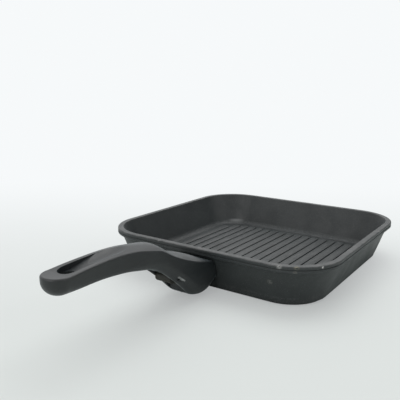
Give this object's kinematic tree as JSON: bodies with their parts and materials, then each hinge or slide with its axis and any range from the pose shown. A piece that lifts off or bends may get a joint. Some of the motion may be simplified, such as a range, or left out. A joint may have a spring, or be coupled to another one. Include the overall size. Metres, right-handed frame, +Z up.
{
  "type": "grill pan",
  "caption": "Square ribbed cast grill pan with a drafted wall and stepped rim, and a curved moulded handle that a finger trigger releases from its lug.",
  "frame": {"origin": "centre of the pan's underside, on the surface that it stands on", "axes": "+Z up; -Y towards the handle and the cook; the grill ribs run along Y; +X to the right of a cook who holds the handle"},
  "size_m": [0.28, 0.4715, 0.0752],
  "materials": {
    "coated_casting": "die-cast aluminium under a fine-speckled charcoal non-stick coating",
    "handle_resin": "satin charcoal phenolic moulding",
    "trigger_resin": "matt dark olive moulding",
    "bright_steel": "plain stainless steel",
    "spring_steel": "tempered spring steel strip"
  },
  "bodies": {
    "pan": {"pan_body": "coated_casting"},
    "handle": {"handle_body": "handle_resin", "lug_sleeve": "bright_steel", "latch_leaf": "spring_steel", "leaf_rivets": "bright_steel", "sleeve_screws": "bright_steel", "trigger_pin": "bright_steel"},
    "trigger": {"release_trigger": "trigger_resin"}
  },
  "joints": [
    {"name": "handle_pull", "type": "slide", "parent": "pan", "child": "handle", "axis": [0, -1, 0], "range_m": [0, 0.035], "deforming": ["latch_leaf"]},
    {"name": "trigger_squeeze", "type": "hinge", "parent": "handle", "child": "trigger", "pos_m": [0, -0.1873, 0.0306], "axis": [1, 0, 0], "range_deg": [0, 14], "stiffness_Nm_per_rad": 0.4, "springref_deg": -5.73, "deforming": ["latch_leaf"]}
  ]
}
